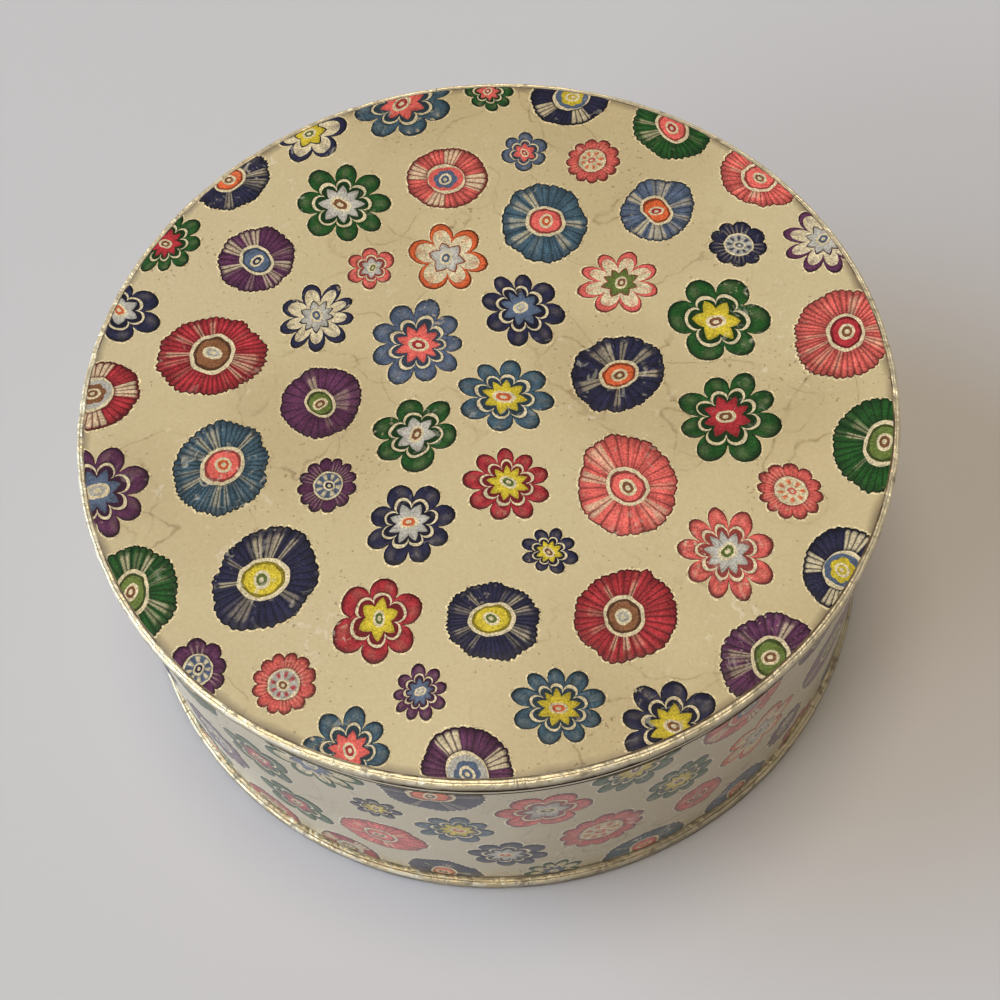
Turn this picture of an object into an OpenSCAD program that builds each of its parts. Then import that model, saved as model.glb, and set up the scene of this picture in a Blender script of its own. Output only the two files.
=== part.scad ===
// Round paperboard powder box: a full-depth lid with gilt edges over a necked tub, with its puff inside.
// Millimetres, +Z up, origin at the centre of the underside.

/* [Overall] */
// Diameter over the gilt edges
outer_d = 132; // [110:1:180]
// Height from the table to the printed top
total_h = 53.5; // [48:0.5:80]

/* [Boards and papers] */
// Thickness of the lid's top board
lid_board_t = 2.1; // [1.5:0.05:4]
// Thickness of the base board
base_board_t = 2.25; // [1.5:0.05:4]
// Wall of the lid's hoop
hoop_wall = 1.5; // [0.8:0.1:3]
// Wall of the neck tube
neck_wall = 1.5; // [0.8:0.1:3]
// Thickness of the covering and lining papers
paper_t = 0.25; // [0.15:0.05:0.5]
// Thickness of the gilt foil edging
foil_t = 0.2; // [0.1:0.05:0.35]
// Glue line between nested paperboard tubes
glue_gap = 0.05; // [0.03:0.01:0.1]

/* [Gilt edges] */
// Rounding of the edge of both boards
edge_r = 0.9; // [0.5:0.05:1.2]
// How far the gilt edge stands out past the printed side
edge_overhang = 1.2; // [0.6:0.1:3]
// Width of the gilt ring left bare round the printed top
gilt_border = 1.2; // [0.6:0.1:3]
// How far the foil turns in over and under each board
foil_turn = 4; // [3.5:0.5:8]
// How far the underside paper stays back from the edge
base_cover_inset = 2; // [1:0.5:3]

/* [Lid fit] */
// Gap between the lid's lining and the neck, all round
lid_gap = 0.35; // [0.3:0.05:1]
// Gap under the lid's rim when it is closed
seat_gap = 0.1; // [0.05:0.05:0.5]
// Free height between the neck's rim and the lid's ceiling
neck_drop = 9; // [4:0.5:14]
// How far the covering papers turn in over a rim
turn_in = 8; // [4:0.5:12]
// Overlap of the side paper at its seam
wrap_lap = 8; // [4:0.5:15]

/* [Shelf] */
// Wall of the spacer tube under the shelf
spacer_wall = 2; // [1:0.1:4]
// Thickness of the shelf ring
shelf_t = 1.5; // [0.8:0.1:3]
// Width of the shelf ring
shelf_w = 14; // [12:0.5:20]

/* [Puff] */
// Gap between the puff and the tub's lining, all round
puff_gap = 4; // [2:0.5:6]
// Depth of the velour pad below the seam
pad_t = 7; // [4:0.5:10]
// Height of the satin back above the seam
back_t = 5; // [3:0.5:8]
// Thickness of the bound edge
binding_d = 2.6; // [1.5:0.1:4]
// Gap between the puff and the shelf it lies on
rest_gap = 0.2; // [0.1:0.05:0.4]
// Free height between the ribbon and the lid's ceiling
puff_headroom = 11; // [5:0.5:12]

/* [Ribbon] */
// Width of the ribbon grip
ribbon_w = 14; // [8:0.5:20]
// Thickness of the ribbon
ribbon_t = 0.5; // [0.3:0.05:0.8]
// Distance between the ribbon's two sewn ends
ribbon_span = 60; // [40:1:70]
// Height of the ribbon's arch over the back
ribbon_rise = 5.8; // [4.5:0.1:8]

/* [Hidden] */
$fn = 180;

// Fullness of the puff's two halves: 2 is an ellipse, larger is squarer
pad_fullness = 4;
back_fullness = 2.6;
// Steps round each rounded corner of a board's edge
edge_steps = 6;
// Steps from the puff's seam to its middle
puff_steps = 14;

chipboard = [0.66, 0.57, 0.44];
gilt = [0.83, 0.74, 0.5];
cream_print = [0.8, 0.71, 0.54];
plain_paper = [0.93, 0.89, 0.8];
velour = [0.95, 0.86, 0.8];
satin = [0.86, 0.56, 0.5];

// Radii, from the outside in
outer_r = outer_d / 2;
foil_inner_r = outer_r - foil_turn;
print_r = outer_r - gilt_border;
hoop_r = outer_r - edge_overhang - paper_t;
hoop_inner_r = hoop_r - hoop_wall;
lid_inner_r = hoop_inner_r - paper_t;
neck_r = lid_inner_r - lid_gap - paper_t;
neck_inner_r = neck_r - neck_wall;
tub_r = neck_inner_r - paper_t;
spacer_r = tub_r - glue_gap;
shelf_inner_r = spacer_r - shelf_w;
puff_r = tub_r - puff_gap;
puff_body_r = puff_r - binding_d - glue_gap;

// Heights, from the table up
base_board_z = paper_t;
base_top_z = base_board_z + base_board_t;
tub_floor_z = base_top_z + paper_t;
lid_rim_z = base_top_z + seat_gap;
lid_board_top_z = total_h - paper_t;
lid_board_z = lid_board_top_z - lid_board_t;
ceiling_z = lid_board_z - paper_t;
neck_top_z = ceiling_z - neck_drop;
back_top_z = ceiling_z - puff_headroom - ribbon_rise;
seam_z = back_top_z - back_t;
shelf_top_z = seam_z - puff_fall(shelf_inner_r, pad_t, pad_fullness) - rest_gap;
shelf_z = shelf_top_z - shelf_t;

// The ribbon is an arc in the XZ plane whose ends meet the satin
ribbon_end_z = seam_z + puff_fall(ribbon_span / 2, back_t, back_fullness) + rest_gap;
ribbon_top_z = back_top_z + ribbon_rise;
ribbon_sag = ribbon_top_z - ribbon_end_z;
ribbon_arc_r = (pow(ribbon_span / 2, 2) + pow(ribbon_sag, 2)) / (2 * ribbon_sag);

// Height of a puff half above or below its seam at a distance from the middle
function puff_fall(r, height, fullness) =
    height * pow(1 - pow(r / puff_body_r, fullness), 1 / fullness);

// Half outline of a puff half, from its seam to its middle
function puff_outline(height, fullness) = [
    for (i = [0 : puff_steps])
        let (turn = 90 * i / puff_steps)
            [puff_body_r * pow(cos(turn), 2 / fullness), height * pow(sin(turn), 2 / fullness)]
];

// A flat disc
module disc(r, z, thickness) {
    translate([0, 0, z])
        cylinder(r = r, h = thickness);
}

// A plain tube between two radii
module tube(inner_r, r, z, top_z) {
    rotate_extrude()
        translate([inner_r, z])
            square([r - inner_r, top_z - z]);
}

// Quarter turn of a rounded edge, from the given angle
function edge_corner(r, z, rounding, from) = [
    for (i = [0 : edge_steps])
        let (turn = from + 90 * i / edge_steps)
            [r + rounding * cos(turn), z + rounding * sin(turn)]
];

// Section of a board's edge: square inside, rounded outside
module edge_section(inner_r, r, z, top_z, rounding) {
    polygon(concat(
        [[inner_r, z]],
        edge_corner(r - rounding, z + rounding, rounding, -90),
        edge_corner(r - rounding, top_z - rounding, rounding, 0),
        [[inner_r, top_z]]
    ));
}

// Rounding that a board of this thickness can take
function edge_rounding(board_t) = min(edge_r, board_t / 2 - 0.05);

// Chipboard disc, thinned at its edge by the foil that wraps it
module edged_board(z, board_t) {
    rotate_extrude() {
        translate([0, z])
            square([foil_inner_r, board_t]);
        edge_section(foil_inner_r - 1, outer_r - foil_t, z + foil_t, z + board_t - foil_t,
                     edge_rounding(board_t) - foil_t);
    }
}

// Foil paper wrapped round a board's edge
module edging(z, board_t) {
    rotate_extrude()
        difference() {
            edge_section(foil_inner_r, outer_r, z, z + board_t, edge_rounding(board_t));
            edge_section(foil_inner_r - 1, outer_r - foil_t, z + foil_t, z + board_t - foil_t,
                         edge_rounding(board_t) - foil_t);
        }
}

// Section of a tube's wall with a rounded rim; up is 1 for a rim at the top and -1 for one at the bottom
module rimmed_wall(inner_r, r, rim_z, far_z, up) {
    wall = r - inner_r;
    turn_z = rim_z - up * wall / 2;
    translate([inner_r, min(turn_z, far_z)])
        square([wall, abs(far_z - turn_z)]);
    translate([(inner_r + r) / 2, turn_z])
        circle(wall / 2);
}

// Section of the paper that covers a tube's outside and turns in over its rim
module turned_paper(inner_r, r, rim_z, far_z, up) {
    difference() {
        rimmed_wall(inner_r - paper_t, r + paper_t, rim_z, far_z, up);
        rimmed_wall(inner_r, r, rim_z - up * paper_t, far_z + (far_z - rim_z), up);
        translate([inner_r - 2 * paper_t, min(rim_z - up * turn_in, far_z)])
            square([3 * paper_t, abs(far_z - rim_z) - turn_in]);
    }
}

// Half of the puff, a crowned form drawn in to its seam; up is 1 for the back and -1 for the pad
module puff_half(height, fullness, up) {
    points = puff_outline(height, fullness);
    translate([0, 0, seam_z])
        rotate_extrude()
            polygon(concat([[0, 0]], [for (p = points) [p[0], up * p[1]]]));
}

// Base

module base_board() {
    color(chipboard)
        edged_board(base_board_z, base_board_t);
}

module base_edging() {
    color(gilt)
        edging(base_board_z, base_board_t);
}

module base_cover() {
    color(plain_paper)
        disc(outer_r - base_cover_inset, 0, paper_t);
}

module neck_tube() {
    color(chipboard)
        rotate_extrude()
            rimmed_wall(neck_inner_r, neck_r, neck_top_z - paper_t, base_top_z, 1);
}

module neck_cover() {
    color(plain_paper)
        rotate_extrude()
            turned_paper(neck_inner_r, neck_r, neck_top_z, base_top_z, 1);
}

module tub_lining() {
    color(plain_paper)
        tube(tub_r, neck_inner_r, tub_floor_z, neck_top_z - turn_in);
}

module tub_floor() {
    color(plain_paper)
        disc(neck_inner_r, base_top_z, paper_t);
}

module spacer_tube() {
    color(chipboard)
        tube(spacer_r - spacer_wall, spacer_r, tub_floor_z, shelf_z);
}

module shelf_ring() {
    color(plain_paper)
        tube(shelf_inner_r, spacer_r, shelf_z, shelf_top_z);
}

// Lid

module lid_board() {
    color(chipboard)
        edged_board(lid_board_z, lid_board_t);
}

module lid_edging() {
    color(gilt)
        edging(lid_board_z, lid_board_t);
}

module lid_print() {
    color(cream_print)
        disc(print_r, lid_board_top_z, paper_t);
}

module lid_hoop() {
    color(chipboard)
        rotate_extrude()
            rimmed_wall(hoop_inner_r, hoop_r, lid_rim_z + paper_t, lid_board_z, -1);
}

// The side paper laps over its own start at the back
module lid_wrap() {
    lap_angle = wrap_lap / (2 * PI * hoop_r) * 360;
    lap_z = lid_rim_z + paper_t + hoop_wall / 2;
    color(cream_print) {
        rotate_extrude()
            turned_paper(hoop_inner_r, hoop_r, lid_rim_z, lid_board_z, -1);
        rotate([0, 0, 90 - lap_angle / 2])
            rotate_extrude(angle = lap_angle)
                translate([hoop_r + paper_t / 2, lap_z])
                    square([1.5 * paper_t, lid_board_z - lap_z]);
    }
}

module lid_lining() {
    color(plain_paper)
        tube(lid_inner_r, hoop_inner_r, lid_rim_z + turn_in, ceiling_z);
}

module lid_ceiling() {
    color(plain_paper)
        disc(hoop_inner_r, ceiling_z, paper_t);
}

// Puff

module puff_pad() {
    color(velour)
        puff_half(pad_t, pad_fullness, -1);
}

module puff_back() {
    color(satin)
        puff_half(back_t, back_fullness, 1);
}

module puff_binding() {
    color(satin)
        translate([0, 0, seam_z])
            rotate_extrude()
                translate([puff_r - binding_d / 2, 0])
                    circle(binding_d / 2);
}

// An arched strip, cut level where its ends are sewn to the satin
module puff_ribbon() {
    color(satin)
        intersection() {
            translate([0, ribbon_w / 2, ribbon_top_z - ribbon_arc_r])
                rotate([90, 0, 0])
                    difference() {
                        cylinder(r = ribbon_arc_r, h = ribbon_w);
                        translate([0, 0, -1])
                            cylinder(r = ribbon_arc_r - ribbon_t, h = ribbon_w + 2);
                    }
            translate([-ribbon_span, -ribbon_w, ribbon_end_z])
                cube([2 * ribbon_span, 2 * ribbon_w, 2 * ribbon_sag]);
        }
}

base_board();
base_edging();
base_cover();
neck_tube();
neck_cover();
tub_lining();
tub_floor();
spacer_tube();
shelf_ring();
lid_board();
lid_edging();
lid_print();
lid_hoop();
lid_wrap();
lid_lining();
lid_ceiling();
puff_pad();
puff_back();
puff_binding();
puff_ribbon();
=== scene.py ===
"""Round paperboard powder box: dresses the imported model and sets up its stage."""

import math
import random

import bmesh
import bpy
import numpy as np
from mathutils import Matrix, Vector, noise


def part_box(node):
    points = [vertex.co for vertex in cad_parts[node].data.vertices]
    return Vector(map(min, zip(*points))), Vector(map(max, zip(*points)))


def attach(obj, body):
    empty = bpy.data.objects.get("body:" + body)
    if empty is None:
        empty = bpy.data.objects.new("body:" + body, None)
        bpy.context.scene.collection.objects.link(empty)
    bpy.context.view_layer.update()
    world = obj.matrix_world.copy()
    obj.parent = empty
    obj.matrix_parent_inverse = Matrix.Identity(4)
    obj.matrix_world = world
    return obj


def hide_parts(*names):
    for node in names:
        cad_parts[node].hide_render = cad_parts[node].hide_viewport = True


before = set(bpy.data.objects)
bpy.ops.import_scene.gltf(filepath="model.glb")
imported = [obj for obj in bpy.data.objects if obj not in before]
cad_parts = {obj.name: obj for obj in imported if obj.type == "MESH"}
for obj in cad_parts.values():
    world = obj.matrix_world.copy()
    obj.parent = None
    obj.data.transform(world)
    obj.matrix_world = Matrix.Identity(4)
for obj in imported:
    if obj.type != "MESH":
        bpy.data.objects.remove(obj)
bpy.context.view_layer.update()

bl_info = {
    "name": "Paperboard Powder Box",
    "version": (1, 0, 0),
    "blender": (4, 5, 0),
    "location": "3D View > Sidebar > Powder Box",
    "description": "Papers, gilt edges, printed blossoms, puff and stage of a round powder box",
    "category": "Add Mesh",
}

MM = 0.001
TURN = 2 * math.pi


def round_node(name):
    """Outer radius, lowest and highest point of a round CAD node."""
    low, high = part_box(name)
    return -low.x, low.z, high.z


PRINT_R, PRINT_LOW, PRINT_TOP = round_node("lid_print")
EDGE_R, LID_EDGE_LOW, LID_EDGE_TOP = round_node("lid_edging")
BASE_EDGE_LOW, BASE_EDGE_TOP = round_node("base_edging")[1:]
SIDE_R, SIDE_LOW, SIDE_TOP = round_node("lid_wrap")
LINING_R = round_node("lid_lining")[0]
BINDING_R, BINDING_LOW, BINDING_TOP = round_node("puff_binding")
PUFF_R, PAD_LOW, SEAM_Z = round_node("puff_pad")
RIBBON_LOW, RIBBON_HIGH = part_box("puff_ribbon")
SHELF_TOP = round_node("shelf_ring")[2]
SHELF_MOUTH = 46.4 * MM

PAPER = PRINT_TOP - PRINT_LOW
SIDE_LENGTH = TURN * SIDE_R
RIM_R = (SIDE_R - LINING_R + PAPER) / 2  # outside of the turn under the lid's rim
CUFF = 8 * MM  # how far the side paper reaches up inside the lid
BORDER_LINES = ((2.7 * MM, 3.7 * MM), (4.35 * MM, 4.75 * MM))  # start and end below the side paper's top; pressed, and coloured as a painted shadow under the gilt edge
BORDER_DEPTH = 0.08 * MM
FOIL_LINE_R = PRINT_R + 0.34 * MM  # where the dark line painted on the foil beside the printed top ends
FOLD_IN = 0.1 * MM  # from the fold line in the foil to its rounded edge
TARNISH_AND_SHADE_SIDE = math.radians(-35)  # where the foil is most tarnished and painted in shade, away from the light, from +X
TOP_GLOSS = 0.08
SIDE_GLOSS = 0.65
SPOKES = 144  # steps round a blossom
RINGS = 14  # rings from its edge to its middle
RELIEF_ROOM = 1.15  # depth that the printed top leaves for its blossoms, in reliefs
GOLDEN_ANGLE = 2.39996
GOLDEN_SHARE = 0.618034
CAMERA_PLACE = (0, -0.14203, 0.27576)
CAMERA_TURNS = (0.3016, 61.23, -5.849)  # degrees to the right, downwards and about the line of sight
CAMERA_LENS = 58.95


def srgb(red, green, blue):
    """Linear colour for an sRGB one given in 0 to 255."""
    parts = []
    for level in (red / 255, green / 255, blue / 255):
        parts.append(level / 12.92 if level <= 0.04045 else ((level + 0.055) / 1.055) ** 2.4)
    return tuple(parts)


def length_prop(name, description, default):
    """A length in metres."""
    return bpy.props.FloatProperty(
        name=name, description=description, default=default, min=0.0, unit="LENGTH", precision=5
    )


def colour_prop(name, description, *default):
    """A colour whose default is given in sRGB, 0 to 255."""
    return bpy.props.FloatVectorProperty(
        name=name, description=description, default=srgb(*default), min=0.0, max=1.0, subtype="COLOR"
    )


class BoxSizes(bpy.types.PropertyGroup):
    """Sizes of the box's finish."""

    relief: length_prop("Blossom relief", "How far a printed blossom stands above its paper", 0.12 * MM)
    outline: length_prop("Ink outline", "Width of the dark line round a blossom", 0.3 * MM)
    halo: length_prop("Print halo", "Width of the pale line left round a blossom", 0.32 * MM)
    blossom_gap: length_prop("Blossom gap", "Bare paper kept between two blossoms", 2.6 * MM)
    edge_round: length_prop("Edge rounding", "Radius of the gilt edge", 0.45 * MM)
    foil_lap: length_prop("Foil lap", "How far the foil reaches in over the board", 4 * MM)
    foil_t: length_prop("Foil thickness", "Thickness of the gilt foil paper", 0.2 * MM)
    crease_gap: length_prop("Crease spacing", "Mean distance between creases across the foil", 4.2 * MM)
    crease_depth: length_prop("Crease depth", "Depth of the creases across the foil", 0.07 * MM)
    seam_lap: length_prop("Side seam lap", "Width of the lap where the side paper ends", 8 * MM)
    seam_step: length_prop("Side seam step", "Height of the step where the side paper ends", 0.12 * MM)
    top_blossoms: bpy.props.IntProperty(
        name="Blossoms on top", description="Number of blossoms on the lid's top", default=57, min=1
    )
    side_blossoms: bpy.props.IntProperty(
        name="Blossoms on the side", description="Number of blossoms round the lid", default=84, min=1
    )
    puff_fill: bpy.props.FloatProperty(
        name="Puff filling", description="How full the puff is", default=0.6, min=0, max=1, subtype="FACTOR"
    )


class BoxColours(bpy.types.PropertyGroup):
    """Colours of the box's papers, foil, boards and fabrics."""

    paper: colour_prop("Printed paper", "Ground of the printed paper", 206, 189, 149)
    paper_side: colour_prop("Side paper", "Ground of the paper round the side", 206, 196, 172)
    stain: colour_prop("Stain", "Edges of the water stains", 148, 122, 74)
    # The darkest colour of the dirt on the papers and foil, also used for painted shade under the gilt
    # edges, in the foil's fold, above the base and in the border lines.
    dirt_and_shade: colour_prop("Dirt", "Dirt in the line along the paper's edge", 84, 66, 46)
    gilt: colour_prop("Gilt", "Gilt foil", 226, 214, 182)
    rubbed: colour_prop("Rubbed foil", "Foil whose gilding is rubbed off", 232, 224, 204)
    lining: colour_prop("Lining", "Plain lining paper", 232, 222, 200)
    board: colour_prop("Board", "Bare chipboard", 168, 150, 122)
    satin: colour_prop("Satin", "Satin of the puff's back and ribbon", 230, 158, 146)
    velour: colour_prop("Velour", "Pile of the puff", 240, 222, 208)
    floor: colour_prop("Floor", "Stage floor", 198, 196, 198)


class BoxInks(bpy.types.PropertyGroup):
    """Printing inks of the blossoms."""

    navy: colour_prop("Navy", "Darkest blue ink", 37, 37, 66)
    slate: colour_prop("Slate", "Grey-blue ink", 86, 100, 124)
    teal: colour_prop("Teal", "Blue-green ink", 66, 92, 108)
    bottle: colour_prop("Bottle", "Dark green ink", 30, 80, 30)
    leaf: colour_prop("Leaf", "Leaf green ink", 96, 112, 52)
    straw: colour_prop("Straw", "Yellow ink", 202, 180, 52)
    coral: colour_prop("Coral", "Light red ink", 220, 100, 92)
    crimson: colour_prop("Crimson", "Dark red ink", 172, 48, 56)
    plum: colour_prop("Plum", "Purple-brown ink", 94, 48, 82)
    orange: colour_prop("Orange", "Orange ink", 212, 98, 54)
    cream: colour_prop("Cream", "Unprinted light lines", 226, 210, 172)
    dove: colour_prop("Dove", "Light grey ink", 182, 178, 168)
    umber: colour_prop("Umber", "Brown ink", 128, 84, 54)


class Finish:
    """Builds one procedural material, node by node."""

    def __init__(self, name):
        self.material = bpy.data.materials.new(name)
        self.material.use_nodes = True
        self.tree = self.material.node_tree
        self.shader = self.tree.nodes["Principled BSDF"]
        self.place = self.node("ShaderNodeTexCoord").outputs["Object"]

    def feed(self, socket, value):
        """Links an output into a socket, or sets the socket's value."""
        if isinstance(value, bpy.types.NodeSocket):
            self.tree.links.new(value, socket)
        else:
            socket.default_value = value

    def node(self, kind, inputs=None, **settings):
        """Adds a node with its settings and inputs."""
        made = self.tree.nodes.new(kind)
        for key, value in settings.items():
            setattr(made, key, value)
        for key, value in (inputs or {}).items():
            self.feed(made.inputs[key], value)
        return made

    def parts(self):
        """X, Y and Z of the place on the piece."""
        return self.node("ShaderNodeSeparateXYZ", {0: self.place}).outputs

    def noise(self, scale, detail, distortion=0.0):
        """Noise from 0 to 1, scale in cycles per metre."""
        inputs = {"Vector": self.place, "Scale": scale, "Detail": detail, "Distortion": distortion}
        return self.node("ShaderNodeTexNoise", inputs).outputs["Fac"]

    def remap(self, value, low, high, to_low=0.0, to_high=1.0):
        """Value from one range to another, held at both ends."""
        inputs = {0: value, 1: low, 2: high, 3: to_low, 4: to_high}
        return self.node("ShaderNodeMapRange", inputs).outputs[0]

    def patchy(self, grain, low, high, to_low=0.0, to_high=1.0):
        """Noise of a grain, its scale, detail and distortion, from one range to another."""
        return self.remap(self.noise(*grain), low, high, to_low, to_high)

    def math(self, operation, first, second=0.0):
        """One arithmetic step."""
        return self.node("ShaderNodeMath", {0: first, 1: second}, operation=operation).outputs[0]

    def plus(self, first, second):
        """Sum of two values."""
        return self.math("ADD", first, second)

    def times(self, first, second):
        """Product of two values."""
        return self.math("MULTIPLY", first, second)

    def larger(self, first, second):
        """The larger of two values."""
        return self.math("MAXIMUM", first, second)

    def blend(self, amount, under, over, how="MIX"):
        """Colour laid over another; a plain colour has three parts."""
        inputs = {0: amount}
        for key, colour in ((6, under), (7, over)):
            inputs[key] = colour if isinstance(colour, bpy.types.NodeSocket) else (*colour, 1.0)
        return self.node("ShaderNodeMix", inputs, data_type="RGBA", blend_type=how).outputs[2]

    def band(self, value, middle, width):
        """1 where a value is at the middle, falling to 0 at the width on both sides."""
        away = self.math("ABSOLUTE", self.math("SUBTRACT", value, middle))
        return self.remap(away, 0.0, width, 1.0, 0.0)

    def bump(self, height, distance, strength=1.0):
        """Gives the shader a bumped normal."""
        inputs = {"Height": height, "Distance": distance, "Strength": strength}
        self.feed(self.shader.inputs["Normal"], self.node("ShaderNodeBump", inputs).outputs["Normal"])

    def set(self, **inputs):
        """Feeds the shader's inputs; an underscore stands for a space."""
        for key, value in inputs.items():
            socket = self.shader.inputs[key.replace("_", " ")]
            if socket.type == "RGBA" and not isinstance(value, bpy.types.NodeSocket):
                value = (*value, 1.0)
            self.feed(socket, value)
        return self.material


TIDE_LINES = (
    # scale, level and width of the lines, and scale of the patches that have them
    (16, 0.52, 0.0028, 23),
    (27, 0.49, 0.0036, 14),
    (38, 0.57, 0.005, 18),
)


def tinted(colour, *factors):
    """A colour with each of its parts times a factor."""
    return tuple(level * factor for level, factor in zip(colour, factors))


def age_paper(finish, colour, stain):
    """Mottling, tide lines of old water stains, specks and rubs over a printed colour."""
    cloud = finish.patchy((24, 5, 0.4), 0.42, 0.75, 0.0, 0.16)
    colour = finish.blend(cloud, colour, (0.86, 0.76, 0.56), "MULTIPLY")
    jagged = finish.times(finish.noise(300, 4), 0.04)
    for scale, level, width, where in TIDE_LINES:
        field = finish.plus(finish.noise(scale, 2, 0.3), jagged)
        patch = finish.patchy((where, 2), 0.44, 0.54)
        inside = finish.times(finish.remap(field, level - 0.05, level, 0.0, 0.07), patch)
        colour = finish.blend(inside, colour, stain, "MULTIPLY")
        line = finish.times(finish.band(field, level, width), patch)
        broken = finish.patchy((420, 3), 0.38, 0.6, 0.1, 0.52)
        colour = finish.blend(finish.times(line, broken), colour, stain, "MULTIPLY")
    fine = finish.patchy((1700, 3), 0.3, 0.7, 0.0, 0.2)
    colour = finish.blend(fine, colour, (0.62, 0.5, 0.32), "MULTIPLY")
    crowd = finish.patchy((52, 3), 0.42, 0.68, 0.0, 0.09)
    specks = finish.math("GREATER_THAN", finish.plus(finish.noise(1400, 2), crowd), 0.745)
    colour = finish.blend(finish.times(specks, 0.62), colour, (0.34, 0.24, 0.13), "MULTIPLY")
    scuff = finish.times(
        finish.patchy((520, 4, 1.0), 0.6, 0.72, 0.0, 0.5), finish.patchy((44, 2), 0.5, 0.64)
    )
    return finish.blend(scuff, colour, (0.8, 0.72, 0.56))


def printed_finish(name, colour, colours, edge, gloss):
    """Aged printing paper, darker along an edge; edge says which: 'top' by radius, along the paper's edge,
    or 'side' by height, with painted shade under the gilt edge and at the rim.
    """
    finish = Finish(name)
    yellowed = tinted(colour, 0.97, 0.93, 0.82)
    tone = finish.blend(finish.patchy((9, 2), 0.35, 0.65), colour, yellowed)
    aged = age_paper(finish, tone, colours.stain)
    across, along, up = finish.parts()
    if edge == "top":
        # On top the paper is darker along its edge.
        square = finish.plus(finish.times(across, across), finish.times(along, along))
        wander = finish.times(finish.noise(130, 5), 2.2 * MM)
        reach = finish.plus(finish.math("SQRT", square), wander)
        near = finish.remap(reach, PRINT_R - 0.2 * MM, PRINT_R + 1.4 * MM, 0.0, 0.8)
    else:
        # On the side this is painted shade: darker under the lid's gilt edge at the top, and where the paper
        # turns in at the rim above the base.
        wander = finish.times(finish.noise(160, 5), 1.2 * MM)
        sunk, risen = finish.math("SUBTRACT", up, wander), finish.plus(up, wander)
        low = finish.remap(sunk, SIDE_LOW, SIDE_LOW + 1.2 * MM, 0.95, 0.0)
        high = finish.remap(risen, SIDE_TOP - 1.2 * MM, SIDE_TOP + 0.4 * MM, 0.0, 0.75)
        near = finish.larger(low, high)
    aged = finish.blend(near, aged, colours.dirt_and_shade)
    tooth = finish.plus(finish.noise(700, 6), finish.times(finish.noise(60, 3), 4.0))
    finish.bump(tooth, 0.05 * MM, 0.5)
    rough = finish.patchy((40, 4), 0.3, 0.7, 0.4, 0.54)
    return finish.set(
        Base_Color=aged, Roughness=rough, IOR=1.5, Coat_Weight=gloss, Coat_Roughness=0.22, Coat_IOR=1.5
    )


def ink_finish(name, stain, gloss):
    """Printed ink, whose colour is written on the blossoms' corners and its mottling in their alpha."""
    finish = Finish(name)
    written = finish.node("ShaderNodeAttribute", attribute_name="ink").outputs
    ink, mottled = written["Color"], written["Alpha"]
    grain = finish.times(
        finish.patchy((3200, 2), 0.3, 0.7, 0.52, 1.36), finish.patchy((760, 4, 0.3), 0.3, 0.7, 0.76, 1.18)
    )
    toned = finish.node("ShaderNodeVectorMath", {0: ink, 3: grain}, operation="SCALE").outputs[0]
    lighter = {0: ink, 1: (1.5, 1.5, 1.5), 2: (0.018, 0.017, 0.016)}
    light = finish.node("ShaderNodeVectorMath", lighter, operation="MULTIPLY_ADD").outputs[0]
    speckle = finish.plus(finish.noise(3900, 2), finish.times(finish.noise(420, 3), 0.5))
    speckle = finish.remap(speckle, 0.7, 0.92, 0.0, 0.65)
    toned = finish.blend(finish.times(speckle, mottled), toned, light)
    rub = finish.times(finish.patchy((1300, 3), 0.6, 0.68), finish.patchy((80, 3), 0.58, 0.7, 0.0, 0.8))
    toned = finish.blend(rub, toned, (0.62, 0.5, 0.33))
    aged = age_paper(finish, toned, stain)
    finish.bump(finish.noise(900, 5), 0.06 * MM, 0.6)
    rough = finish.patchy((60, 4), 0.3, 0.7, 0.4, 0.54)
    return finish.set(
        Base_Color=aged, Roughness=rough, IOR=1.5, Specular_IOR_Level=0.08 + 0.5 * gloss,
        Coat_Weight=gloss, Coat_Roughness=0.22, Coat_IOR=1.5
    )


def hairlines(finish, gap, width, seed):
    """Cracks across the foil at uneven distances: 1 on a crack and 0 beside it."""
    across, along, _ = finish.parts()
    place = finish.times(finish.math("ARCTAN2", along, across), EDGE_R / gap)
    place = finish.plus(place, finish.times(finish.noise(520, 3), 0.9 * MM / gap))
    number = finish.plus(finish.math("FLOOR", place), seed)
    chance = finish.node("ShaderNodeTexWhiteNoise", {"W": number}, noise_dimensions="1D").outputs["Value"]
    middle = finish.remap(chance, 0.0, 1.0, 0.15, 0.85)
    away = finish.math("ABSOLUTE", finish.math("SUBTRACT", finish.math("FRACT", place), middle))
    line = finish.remap(away, 0.3 * width / gap, width / gap, 1.0, 0.0)
    depth = finish.remap(finish.math("FRACT", finish.times(chance, 7.0)), 0.3, 0.9)
    return finish.times(line, finish.times(depth, finish.patchy((900, 3), 0.4, 0.6, 0.25, 1.0)))


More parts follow.
